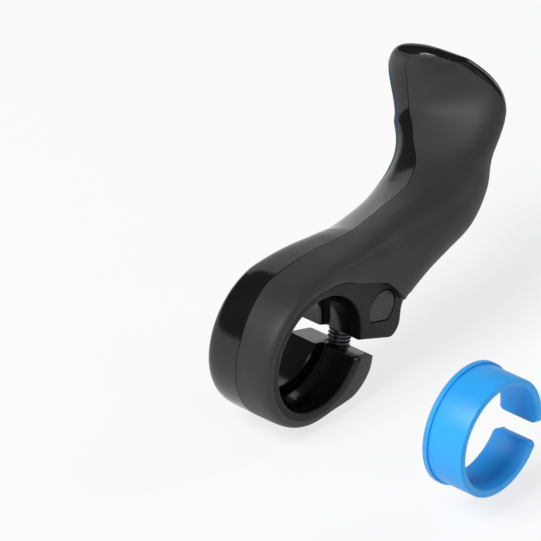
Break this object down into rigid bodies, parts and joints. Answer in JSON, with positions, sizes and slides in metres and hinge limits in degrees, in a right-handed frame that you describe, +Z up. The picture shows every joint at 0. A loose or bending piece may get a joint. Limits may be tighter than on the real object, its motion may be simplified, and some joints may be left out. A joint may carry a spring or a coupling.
{
  "type": "bicycle bar end",
  "caption": "Inner bar end: a split handlebar clamp with a curved, soft-covered horn that ends in a thumb paddle, and its C-shaped reducing sleeve lying in front.",
  "frame": {"origin": "on the handlebar's axis, in the middle of the clamp's width", "axes": "Y along the handlebar with the clamp's front at -Y, X towards the horn's reach, Z up"},
  "size_m": [0.0831, 0.0789, 0.0572],
  "materials": {
    "body": "black glass-filled nylon, smooth",
    "soft_cover": "dark grey, satin",
    "soft_pad": "grey, matt",
    "nut": "dark anodised, satin",
    "bolt": "black oxide",
    "sleeve": "light blue nylon, satin"
  },
  "bodies": {
    "root": {"body": "body", "horn": "body", "grip_cover": "soft_cover", "back_strip": "soft_pad", "paddle_pad": "soft_pad", "cross_nut": "nut", "clamp_bolt": "bolt", "reducing_sleeve": "sleeve"}
  },
  "joints": []
}
